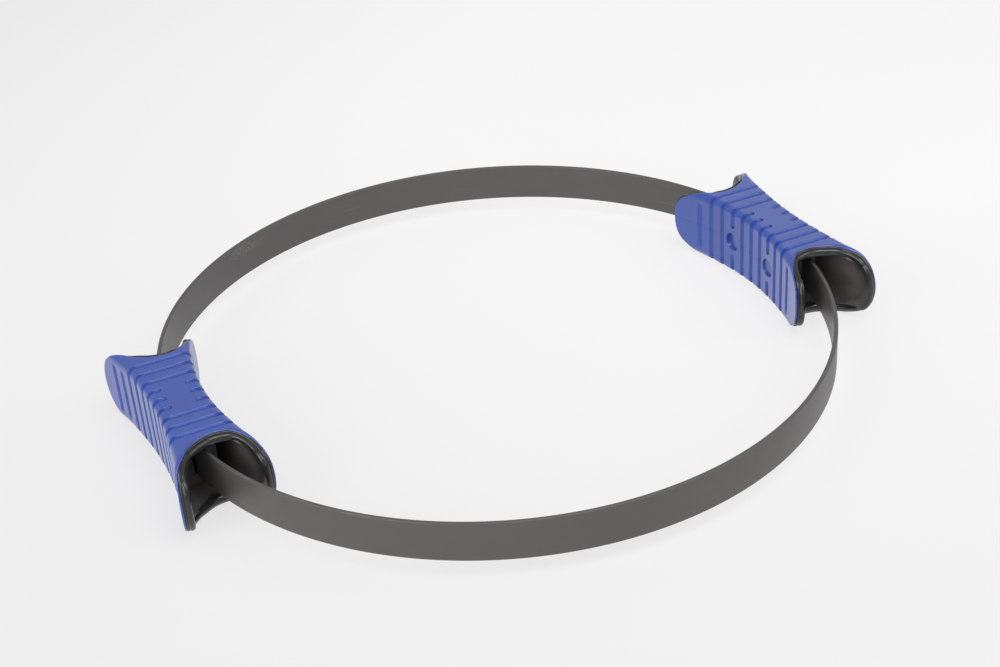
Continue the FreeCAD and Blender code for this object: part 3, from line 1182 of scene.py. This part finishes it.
@dataclass
class SqueezeHandle:
    """One handle: ribbed grip, hard core with its lip and seat, and the clamp with its fasteners."""

    side: Side
    form: HandleForm = field(default_factory=HandleForm)
    pattern: GripPattern = field(default_factory=GripPattern)
    lip: LipForm = field(default_factory=LipForm)
    column_counts: tuple[int, ...] = (18, 9, 52, 9, 36, 9, 70, 9, 18)
    least_column: float = 0.12 * MM
    end_rows: int = 70
    roll_rows: int = 6
    roll_depth: float = 1.5 * MM
    lining_rows: int = 16
    core_columns: int = 220
    shell_rows: int = 11
    core_lining_rows: int = 41
    ledge_radius: float = 178.05 * MM
    seat_radius: float = 180.85 * MM
    channel_half_height: float = 10.5 * MM
    ledge_round: float = 4.0 * MM
    ledge_sink: float = 0.98
    seat_bevel: float = 0.5 * MM
    seat_rows: int = 41
    seat_sharp_degrees: float = 30.0

    def fix(self, piece: bpy.types.Object, finish: Finish, slot: str, node: str) -> None:
        """Dresses a piece, fixes it to the handle's body and lets it stand for a CAD node.

        Args:
            piece: The new piece.
            finish: Its surface.
            slot: Not used.
            node: The CAD node, without its side.
        """
        dress(piece, finish.material())
        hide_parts(f"{self.side.word}_{node}")
        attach(piece, self.side.body)
        LOG.info("%s: %d faces", piece.name, len(piece.data.polygons))

    def grip_columns(self) -> np.ndarray:
        """Ways round the grip, close together at corners, panel edges and recesses.

        Returns:
            The ways in order.
        """
        stops = self.form.stops()
        counted = zip(stops[:-1], stops[1:], self.column_counts)
        runs = [np.linspace(start, end, count, endpoint=False) for start, end, count in counted]
        ordered = np.sort(np.concatenate(runs + [self.form.inner_middle + self.pattern.recess_lines()]))
        steps = np.diff(ordered, append=ordered[0] + self.form.girth)
        return ordered[steps >= self.least_column]

    def recessed(self, girth: np.ndarray, along: np.ndarray) -> tuple[np.ndarray, np.ndarray, np.ndarray]:
        """Bends the grid round the two screw recesses, so that squares about a centre become circles.

        Args:
            girth: Ways round the handle.
            along: Places along it.

        Returns:
            The bent ways and places, and the share of the recess depth at each point.
        """
        pattern = self.pattern
        edge = pattern.recess_radius
        middle = self.form.inner_middle
        share = np.zeros_like(along)
        for centre in (-pattern.screw_reach, pattern.screw_reach):
            up = girth - middle
            off = along - centre
            square = np.maximum(np.abs(up), np.abs(off))
            reach = np.maximum(np.hypot(up, off), TINY)
            flat = smoothstep(edge + pattern.recess_round, pattern.recess_reach, square)
            pull = np.where(square < pattern.recess_reach, flat + (1.0 - flat) * square / reach, 1.0)
            girth = middle + up * pull
            along = centre + off * pull
            brim = smoothstep(edge - pattern.recess_fall, edge + pattern.recess_brim, reach * pull)
            share = np.maximum(share, 1.0 - brim)
        return girth, along, share

    def build_grip(self) -> None:
        """Grip: the handle's skin with grooves and recesses, a rolled edge at each mouth and an inner skin.

        Rows run along the outer skin, over the far edge, back along the inner skin and over the near edge,
        so the grid closes on itself. Past the grooves that go all round, rows spread evenly to the mouth's
        edge.
        """
        form, pattern = self.form, self.pattern
        columns = self.grip_columns()
        rows = pattern.rows()
        along = np.repeat(rows[:, None], len(columns), axis=1)
        girth = np.repeat(columns[None, :], len(rows), axis=0)
        girth, along, recess = self.recessed(girth, along)
        edge_girth, edge_along = form.at_rim(columns, -pattern.rim_roll)
        share = np.linspace(0.0, 1.0, self.end_rows)[1:, None]
        end_along = rows[-1] + share * (edge_along - rows[-1])
        end_girth = columns + share * (edge_girth - columns)
        all_along = np.concatenate([-end_along[::-1], along, end_along])
        all_girth = np.concatenate([end_girth[::-1], girth, end_girth])
        corner = form.corner(all_along)
        plain = form.place(all_girth, all_along, 0.0, corner)
        groove = pattern.grooves(all_along, plain[..., 0] - form.radius, plain[..., 2])
        depth = pattern.depth * groove
        middle = slice(len(end_along), len(end_along) + len(recess))
        depth[middle] = np.maximum(depth[middle], pattern.recess_depth * recess)
        skin = form.place(all_girth, all_along, depth, corner + pattern.corner_extra * groove)
        roll = np.linspace(0.0, 0.5 * math.pi, self.roll_rows)[1:]
        past = np.concatenate([pattern.rim_roll * (np.sin(roll) - 1.0), [0.0, 0.0]])
        rolled = pattern.rim_roll * (1.0 - np.cos(roll))
        under = np.concatenate([rolled, [self.roll_depth, pattern.thickness]])
        ways = [form.at_rim(columns, step) for step in past]
        rims = [(way, reach, inset) for (way, reach), inset in zip(ways, under)]
        far = np.stack([form.place(way, reach, inset, form.corner(reach)) for way, reach, inset in rims])
        near = np.stack([form.place(way, -reach, inset, form.corner(reach)) for way, reach, inset in rims])
        back = np.linspace(1.0, -1.0, self.lining_rows)[1:-1, None] * ways[-1][1]
        lining = form.place(ways[-1][0], back, pattern.thickness, form.corner(back))
        grid = np.concatenate([skin, far, lining, near[::-1]])
        piece = grid_piece(f"{self.side.word}_ribbed_grip", self.side.turned(grid))
        marks = np.zeros(grid.shape[:2])
        marks[: len(groove)] = groove
        marks[middle] = np.maximum(marks[middle], recess)
        set_attribute(piece, "groove", marks)
        self.fix(piece, GRIP_RUBBER, "grip_rubber", "grip")

    def build_core(self) -> None:
        """Core: a tube under the grip that swells into a round lip at each mouth and opens inside it.

        A point of the lip is a point of the mouth's edge, plus its distance past the edge out of the
        mouth, less its depth along the normal. Behind the bead, cubic curves lead onto the lining.
        """
        form, lip = self.form, self.lip
        columns = np.linspace(0.0, form.girth, self.core_columns, endpoint=False)
        pasts, depths = lip.outline(form.tongue_share(columns))
        edge, normal, out = form.edge_frame(columns)
        swept = edge + pasts[..., None] * out - depths[..., None] * normal
        reach = form.rim(columns)[0]
        inner = reach - lip.inside_run
        landing = form.place(columns, inner, lip.inside_depth, lip.mouth_corner)
        backwards = np.array([0.0, -lip.inside_run, 0.0])
        opening = eased(swept[-1], -lip.inside_run * out, landing, backwards, lip.inside_rows)
        far = np.concatenate([swept, opening])
        near = far * np.array([1.0, -1.0, 1.0])
        outside = np.linspace(-1.0, 1.0, self.shell_rows)[1:-1, None] * (reach - lip.shoulder)
        shell = form.place(columns, outside, lip.under_grip, form.corner(outside))
        inside = np.linspace(1.0, -1.0, self.core_lining_rows)[1:-1, None] * inner
        rounding = smoothstep(lip.seat_reach, form.mouth_reach - lip.inside_run, np.abs(inside))
        inside_corner = lip.waist_corner + (lip.mouth_corner - lip.waist_corner) * rounding
        lining = form.place(columns, inside, lip.inside_depth, inside_corner)
        grid = np.concatenate([shell, far, lining, near[::-1]])
        piece = grid_piece(f"{self.side.word}_lipped_core", self.side.turned(grid))
        # Inside share: none on the shell and lip, easing to full inside; the plastic paints fill light by
        # it.
        easing = smoothstep(0.0, lip.inside_rows, np.arange(1.0, lip.inside_rows + 1.0))
        unfilled = np.zeros(len(shell) + len(swept))
        painted_fill_share = np.concatenate([unfilled, easing, np.ones(len(lining)), easing[::-1]])
        marks = np.zeros(grid.shape[:2])
        marks[: len(painted_fill_share)] = painted_fill_share[:, None]
        set_attribute(piece, "inside", marks)
        self.fix(piece, LIP_PLASTIC, "core_plastic", "core")

    def build_seat(self) -> None:
        """Seat moulded inside the core's outer wall: a channel for the strip between two rounded ledges.

        A C-shaped section is carried along the handle. Its faces follow circles about the ring's centre,
        and at each end it sinks into the wall by a quarter circle.
        """
        form, lip = self.form, self.lip
        along = lip.seat_reach * np.sin(np.linspace(-0.5 * math.pi, 0.5 * math.pi, self.seat_rows))[:, None]
        buried = 0.5 * (lip.under_grip + lip.inside_depth)
        wall = form.radius + form.half_width(along, form.outer_curve) - buried
        top = form.half_height - buried
        bevel, channel = self.seat_bevel, self.channel_half_height
        rise = np.array([top, top, channel + bevel, channel, channel])
        rises = np.concatenate([rise, -rise[::-1]])
        halves = np.array([[0, 1, 1, 1, 0], [0, 0, 0, bevel, 0], [0, 0, 0, 0, 1]])
        ledges, bevels, floors = np.concatenate([halves, halves[:, ::-1]], axis=1)
        ledge_x = np.sqrt(self.ledge_radius**2 - along**2)
        seat_x = np.sqrt(self.seat_radius**2 - along**2)
        across = wall * (1.0 - ledges - floors) + (ledge_x + bevels) * ledges + seat_x * floors
        past = np.clip((np.abs(along) - lip.seat_reach + self.ledge_round) / self.ledge_round, 0.0, 1.0)
        across = across + (wall - across) * (1.0 - np.sqrt(1.0 - past**2)) * self.ledge_sink
        grid = np.stack(np.broadcast_arrays(across, along, rises), axis=-1)
        turned = self.side.turned(grid)
        piece = tube_piece(f"{self.side.word}_strip_seat", turned, self.seat_sharp_degrees)
        # The seat takes the full inside share, and with it the painted fill light.
        set_attribute(piece, "inside", np.ones(grid.shape[:2]))
        self.fix(piece, LIP_PLASTIC, "core_plastic", "core")

    def dress_clamp(self) -> None:
        """Gives the clamp block, plate and fasteners of this handle their finishes."""
        word = self.side.word
        finishes = {"clamp_block": BLOCK_PLASTIC, "clamp_plate": STRIP_STEEL}
        for span in Span:
            for fastener in ("screw", "washer", "nut"):
                finishes[f"{span.word}_{fastener}"] = ZINC_STEEL
            finishes[f"{span.word}_plug"] = GRIP_RUBBER
        for name, finish in finishes.items():
            dress(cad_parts[f"{word}_{name}"], finish.material())
            LOG.info("%s_%s: %s", word, name, finish.name)


@dataclass
class SprungBand:
    """The strip round the ring and the sleeves over its two spans, in halves that each reach into one
    handle.
    """

    radius: float = 180.0 * MM
    strip_thickness: float = 1.1 * MM
    strip_height: float = 20.4 * MM
    strip_edge: float = 0.2 * MM
    strip_gap: float = 0.6 * MM
    sleeve_thickness: float = 2.2 * MM
    sleeve_height: float = 21.5 * MM
    sleeve_edge: float = 0.7 * MM
    sleeve_start: float = 29.5 * MM
    bend_end: float = 166.0 * MM
    steps: int = 150
    corner_points: int = 6
    sharp_degrees: float = 50.0

    def section(self, thickness: float, height: float, edge: float) -> np.ndarray:
        """A rounded oblong: straight sides joined by quarter circles.

        Args:
            thickness: Its size across the band.
            height: Its size up the band.
            edge: Radius of its corners.

        Returns:
            Points in turn, as distance outwards and up.
        """
        swing = np.linspace(0.0, 0.5 * math.pi, self.corner_points)
        quarter = np.stack([np.cos(swing), np.sin(swing)], axis=-1) * edge
        corner = np.array([0.5 * thickness - edge, 0.5 * height - edge])
        signs = np.array([[1, 1], [-1, 1], [-1, -1], [1, -1]])
        turns = [quarter if sign.prod() > 0 else quarter[::-1] for sign in signs]
        return np.concatenate([turn * sign + corner * sign for turn, sign in zip(turns, signs)])

    def swept(self, name: str, section: np.ndarray, start: float, end: float) -> bpy.types.Object:
        """Carries a section round the ring from one angle to another and closes its ends.

        Each point lies at the ring's radius plus its distance outwards, at the angle, and at its own
        height. The map holds the way round the ring and the way up the section, with the outer side set
        off from the inner.

        Args:
            name: Name of the piece.
            section: Points as distance outwards and up.
            start: First angle about Z.
            end: Last angle.

        Returns:
            The piece.
        """
        angle = np.linspace(start, end, self.steps)[:, None]
        out = self.radius + section[None, :, 0]
        rise = np.broadcast_to(section[None, :, 1], (self.steps, len(section)))
        grid = np.stack([out * np.cos(angle), out * np.sin(angle), rise], axis=-1)
        piece = tube_piece(name, grid, self.sharp_degrees)
        way = np.broadcast_to(angle * self.radius, rise.shape)
        set_off = np.where(section[:, 0] > 0.0, 2.0 * self.sleeve_height, 0.0)
        turn = np.broadcast_to(set_off + section[:, 1], rise.shape)
        set_uv(piece, "along_band", np.stack([way, turn], axis=-1).reshape(-1, 2))
        return piece

    def fix(self, piece: bpy.types.Object, side: Side, finish: Finish, slot: str, node: str) -> None:
        """Dresses part of the band, hides the CAD node that it stands for and bakes its place into its
        points.

        Args:
            piece: The new piece.
            side: Not used.
            finish: Its surface.
            slot: Not used.
            node: The CAD node that it stands for.
        """
        dress(piece, finish.material())
        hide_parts(node)
        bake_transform(piece)
        LOG.info("%s: %d faces", piece.name, len(piece.data.polygons))

    def build_sleeves(self) -> None:
        """Four half sleeves, each from the middle of its span into its handle's mouth."""
        section = self.section(self.sleeve_thickness, self.sleeve_height, self.sleeve_edge)
        handle_angle = math.asin(self.sleeve_start / self.radius)
        for span in Span:
            for side in Side:
                middle = span.value * 0.5 * math.pi
                inside = span.value * handle_angle
                mouth = inside if side is Side.RIGHT else math.pi * span.value - inside
                piece = self.swept(f"{span.word}_{side.word}_sleeve", section, *sorted((middle, mouth)))
                self.fix(piece, side, SLEEVE_VINYL, "sleeve_vinyl", f"{span.word}_sleeve")

    def build_strip(self) -> None:
        """The strip: its left half in one piece, and its right half in two with the gap between."""
        section = self.section(self.strip_thickness, self.strip_height, self.strip_edge)
        gap = 0.5 * self.strip_gap / self.radius
        turns = {
            "left_strip": (Side.LEFT, 0.5 * math.pi, 1.5 * math.pi),
            "right_front_strip": (Side.RIGHT, -0.5 * math.pi, -gap),
            "right_back_strip": (Side.RIGHT, gap, 0.5 * math.pi),
        }
        for name, (side, start, end) in turns.items():
            piece = self.swept(name, section, start, end)
            self.fix(piece, side, STRIP_STEEL, "strip_steel", "spring_band")


@dataclass(frozen=True)
class Softbox:
    """A square soft light, aimed at the ring's centre."""

    name: str
    size: float
    power: float
    place: Point

    def build(self) -> None:
        """Puts the light in its place and turns it to the ring."""
        lamp = bpy.data.lights.new(self.name, "AREA")
        lamp.shape = "SQUARE"
        lamp.size = self.size
        lamp.energy = self.power
        light = bpy.data.objects.new(self.name, lamp)
        light.location = self.place
        light.rotation_euler = (-Vector(self.place)).to_track_quat("-Z", "Y").to_euler()
        bpy.context.scene.collection.objects.link(light)


@dataclass
class Studio:
    """Pale floor, soft lights and the camera."""

    floor_half: float = 3.0
    floor_height: float = CAD_BOX[0][2]
    azimuth: float = math.radians(-23.628)
    elevation: float = math.radians(31.544)
    roll: float = math.radians(-4.230)
    distance: float = 0.9510
    target: Point = (0.0012, -0.0019, 0.0)
    lens: float = 63.464
    sensor: float = 36.0
    back_rise: float = 0.35
    facing_ends: Pair = (-0.7, 0.9)
    back_level: float = 0.52
    front_level: float = 0.42
    white_level: float = 0.93
    lamps: tuple[Softbox, ...] = (
        Softbox("overhead", 0.8, 8.5, (0.05, -0.65, 1.2)),
        Softbox("front_left", 1.2, 17.5, (-1.55, -0.6, 0.75)),
        Softbox("front_right", 1.0, 6.0, (1.2, -0.8, 0.95)),
        Softbox("back_right", 0.8, 0.55, (0.85, 1.2, 0.8)),
    )

    def build(self) -> None:
        """Sets up floor, surroundings, lights, view and camera."""
        scene = bpy.context.scene
        scene.view_settings.view_transform = "Standard"
        self.lay_floor()
        self.light(scene)
        self.set_camera(scene)

    def lay_floor(self) -> None:
        """A flat square of pale paper that the handles rest on."""
        half = self.floor_half
        corners = np.array([[-half, -half], [half, -half], [half, half], [-half, half]])
        points = np.column_stack([corners, np.full(4, self.floor_height)])
        mesh = bpy.data.meshes.new("studio_floor")
        mesh.from_pydata(points.tolist(), [], [[0, 1, 2, 3]])
        floor = bpy.data.objects.new("studio_floor", mesh)
        bpy.context.scene.collection.objects.link(floor)
        dress(floor, FLOOR_PAPER.material())

    def light(self, scene: bpy.types.Scene) -> None:
        """Surroundings that light the ring more from the back than the front, and the softboxes.

        The camera itself sees the surroundings as one pale level.

        Args:
            scene: The scene that is lit.
        """
        world = bpy.data.worlds.new("studio_world")
        scene.world = world
        world.use_nodes = True
        sheet = NodeSheet(world.node_tree)
        way = sheet.add("ShaderNodeTexCoord").outputs["Generated"]
        back = (-math.sin(self.azimuth), math.cos(self.azimuth), self.back_rise)
        facing = sheet.vectors("DOT_PRODUCT", way, back)["Value"]
        level = sheet.remap(facing, *self.facing_ends, self.front_level, self.back_level)
        seen = sheet.add("ShaderNodeLightPath").outputs["Is Camera Ray"]
        unseen = sheet.math("MULTIPLY", level, sheet.math("SUBTRACT", 1.0, seen))
        strength = sheet.math("ADD", unseen, sheet.math("MULTIPLY", seen, self.white_level))
        background = world.node_tree.nodes["Background"].inputs
        sheet.feed(background["Strength"], strength)
        sheet.feed(background["Color"], (1.0, 1.0, 1.0, 1.0))
        for lamp in self.lamps:
            lamp.build()

    def set_camera(self, scene: bpy.types.Scene) -> None:
        """Camera on a sphere about its target, rolled about its own line of sight.

        Args:
            scene: The scene that the camera is for.
        """
        azimuth, elevation = self.azimuth, self.elevation
        back = Vector((
            math.sin(azimuth) * math.cos(elevation),
            -math.cos(azimuth) * math.cos(elevation),
            math.sin(elevation),
        ))
        level = Vector((math.cos(azimuth), math.sin(azimuth), 0.0))
        upright = back.cross(level)
        right = math.cos(self.roll) * level + math.sin(self.roll) * upright
        up = math.cos(self.roll) * upright - math.sin(self.roll) * level
        lens = bpy.data.cameras.new("studio_camera")
        lens.lens = self.lens
        lens.sensor_width = self.sensor
        lens.sensor_fit = "HORIZONTAL"
        camera = bpy.data.objects.new("studio_camera", lens)
        turn = Matrix((right, up, back)).transposed()
        place = Vector(self.target) + self.distance * back
        camera.matrix_world = Matrix.Translation(place) @ turn.to_4x4()
        scene.collection.objects.link(camera)
        scene.camera = camera


def main() -> None:
    """Builds the ring's pieces in order, then the studio."""
    logging.basicConfig(level=logging.INFO, format="%(name)s %(message)s")
    for side in Side:
        handle = SqueezeHandle(side)
        handle.build_grip()
        handle.build_core()
        handle.build_seat()
        handle.dress_clamp()
    band = SprungBand()
    band.build_sleeves()
    band.build_strip()
    Studio().build()


if __name__ == "__main__":
    main()
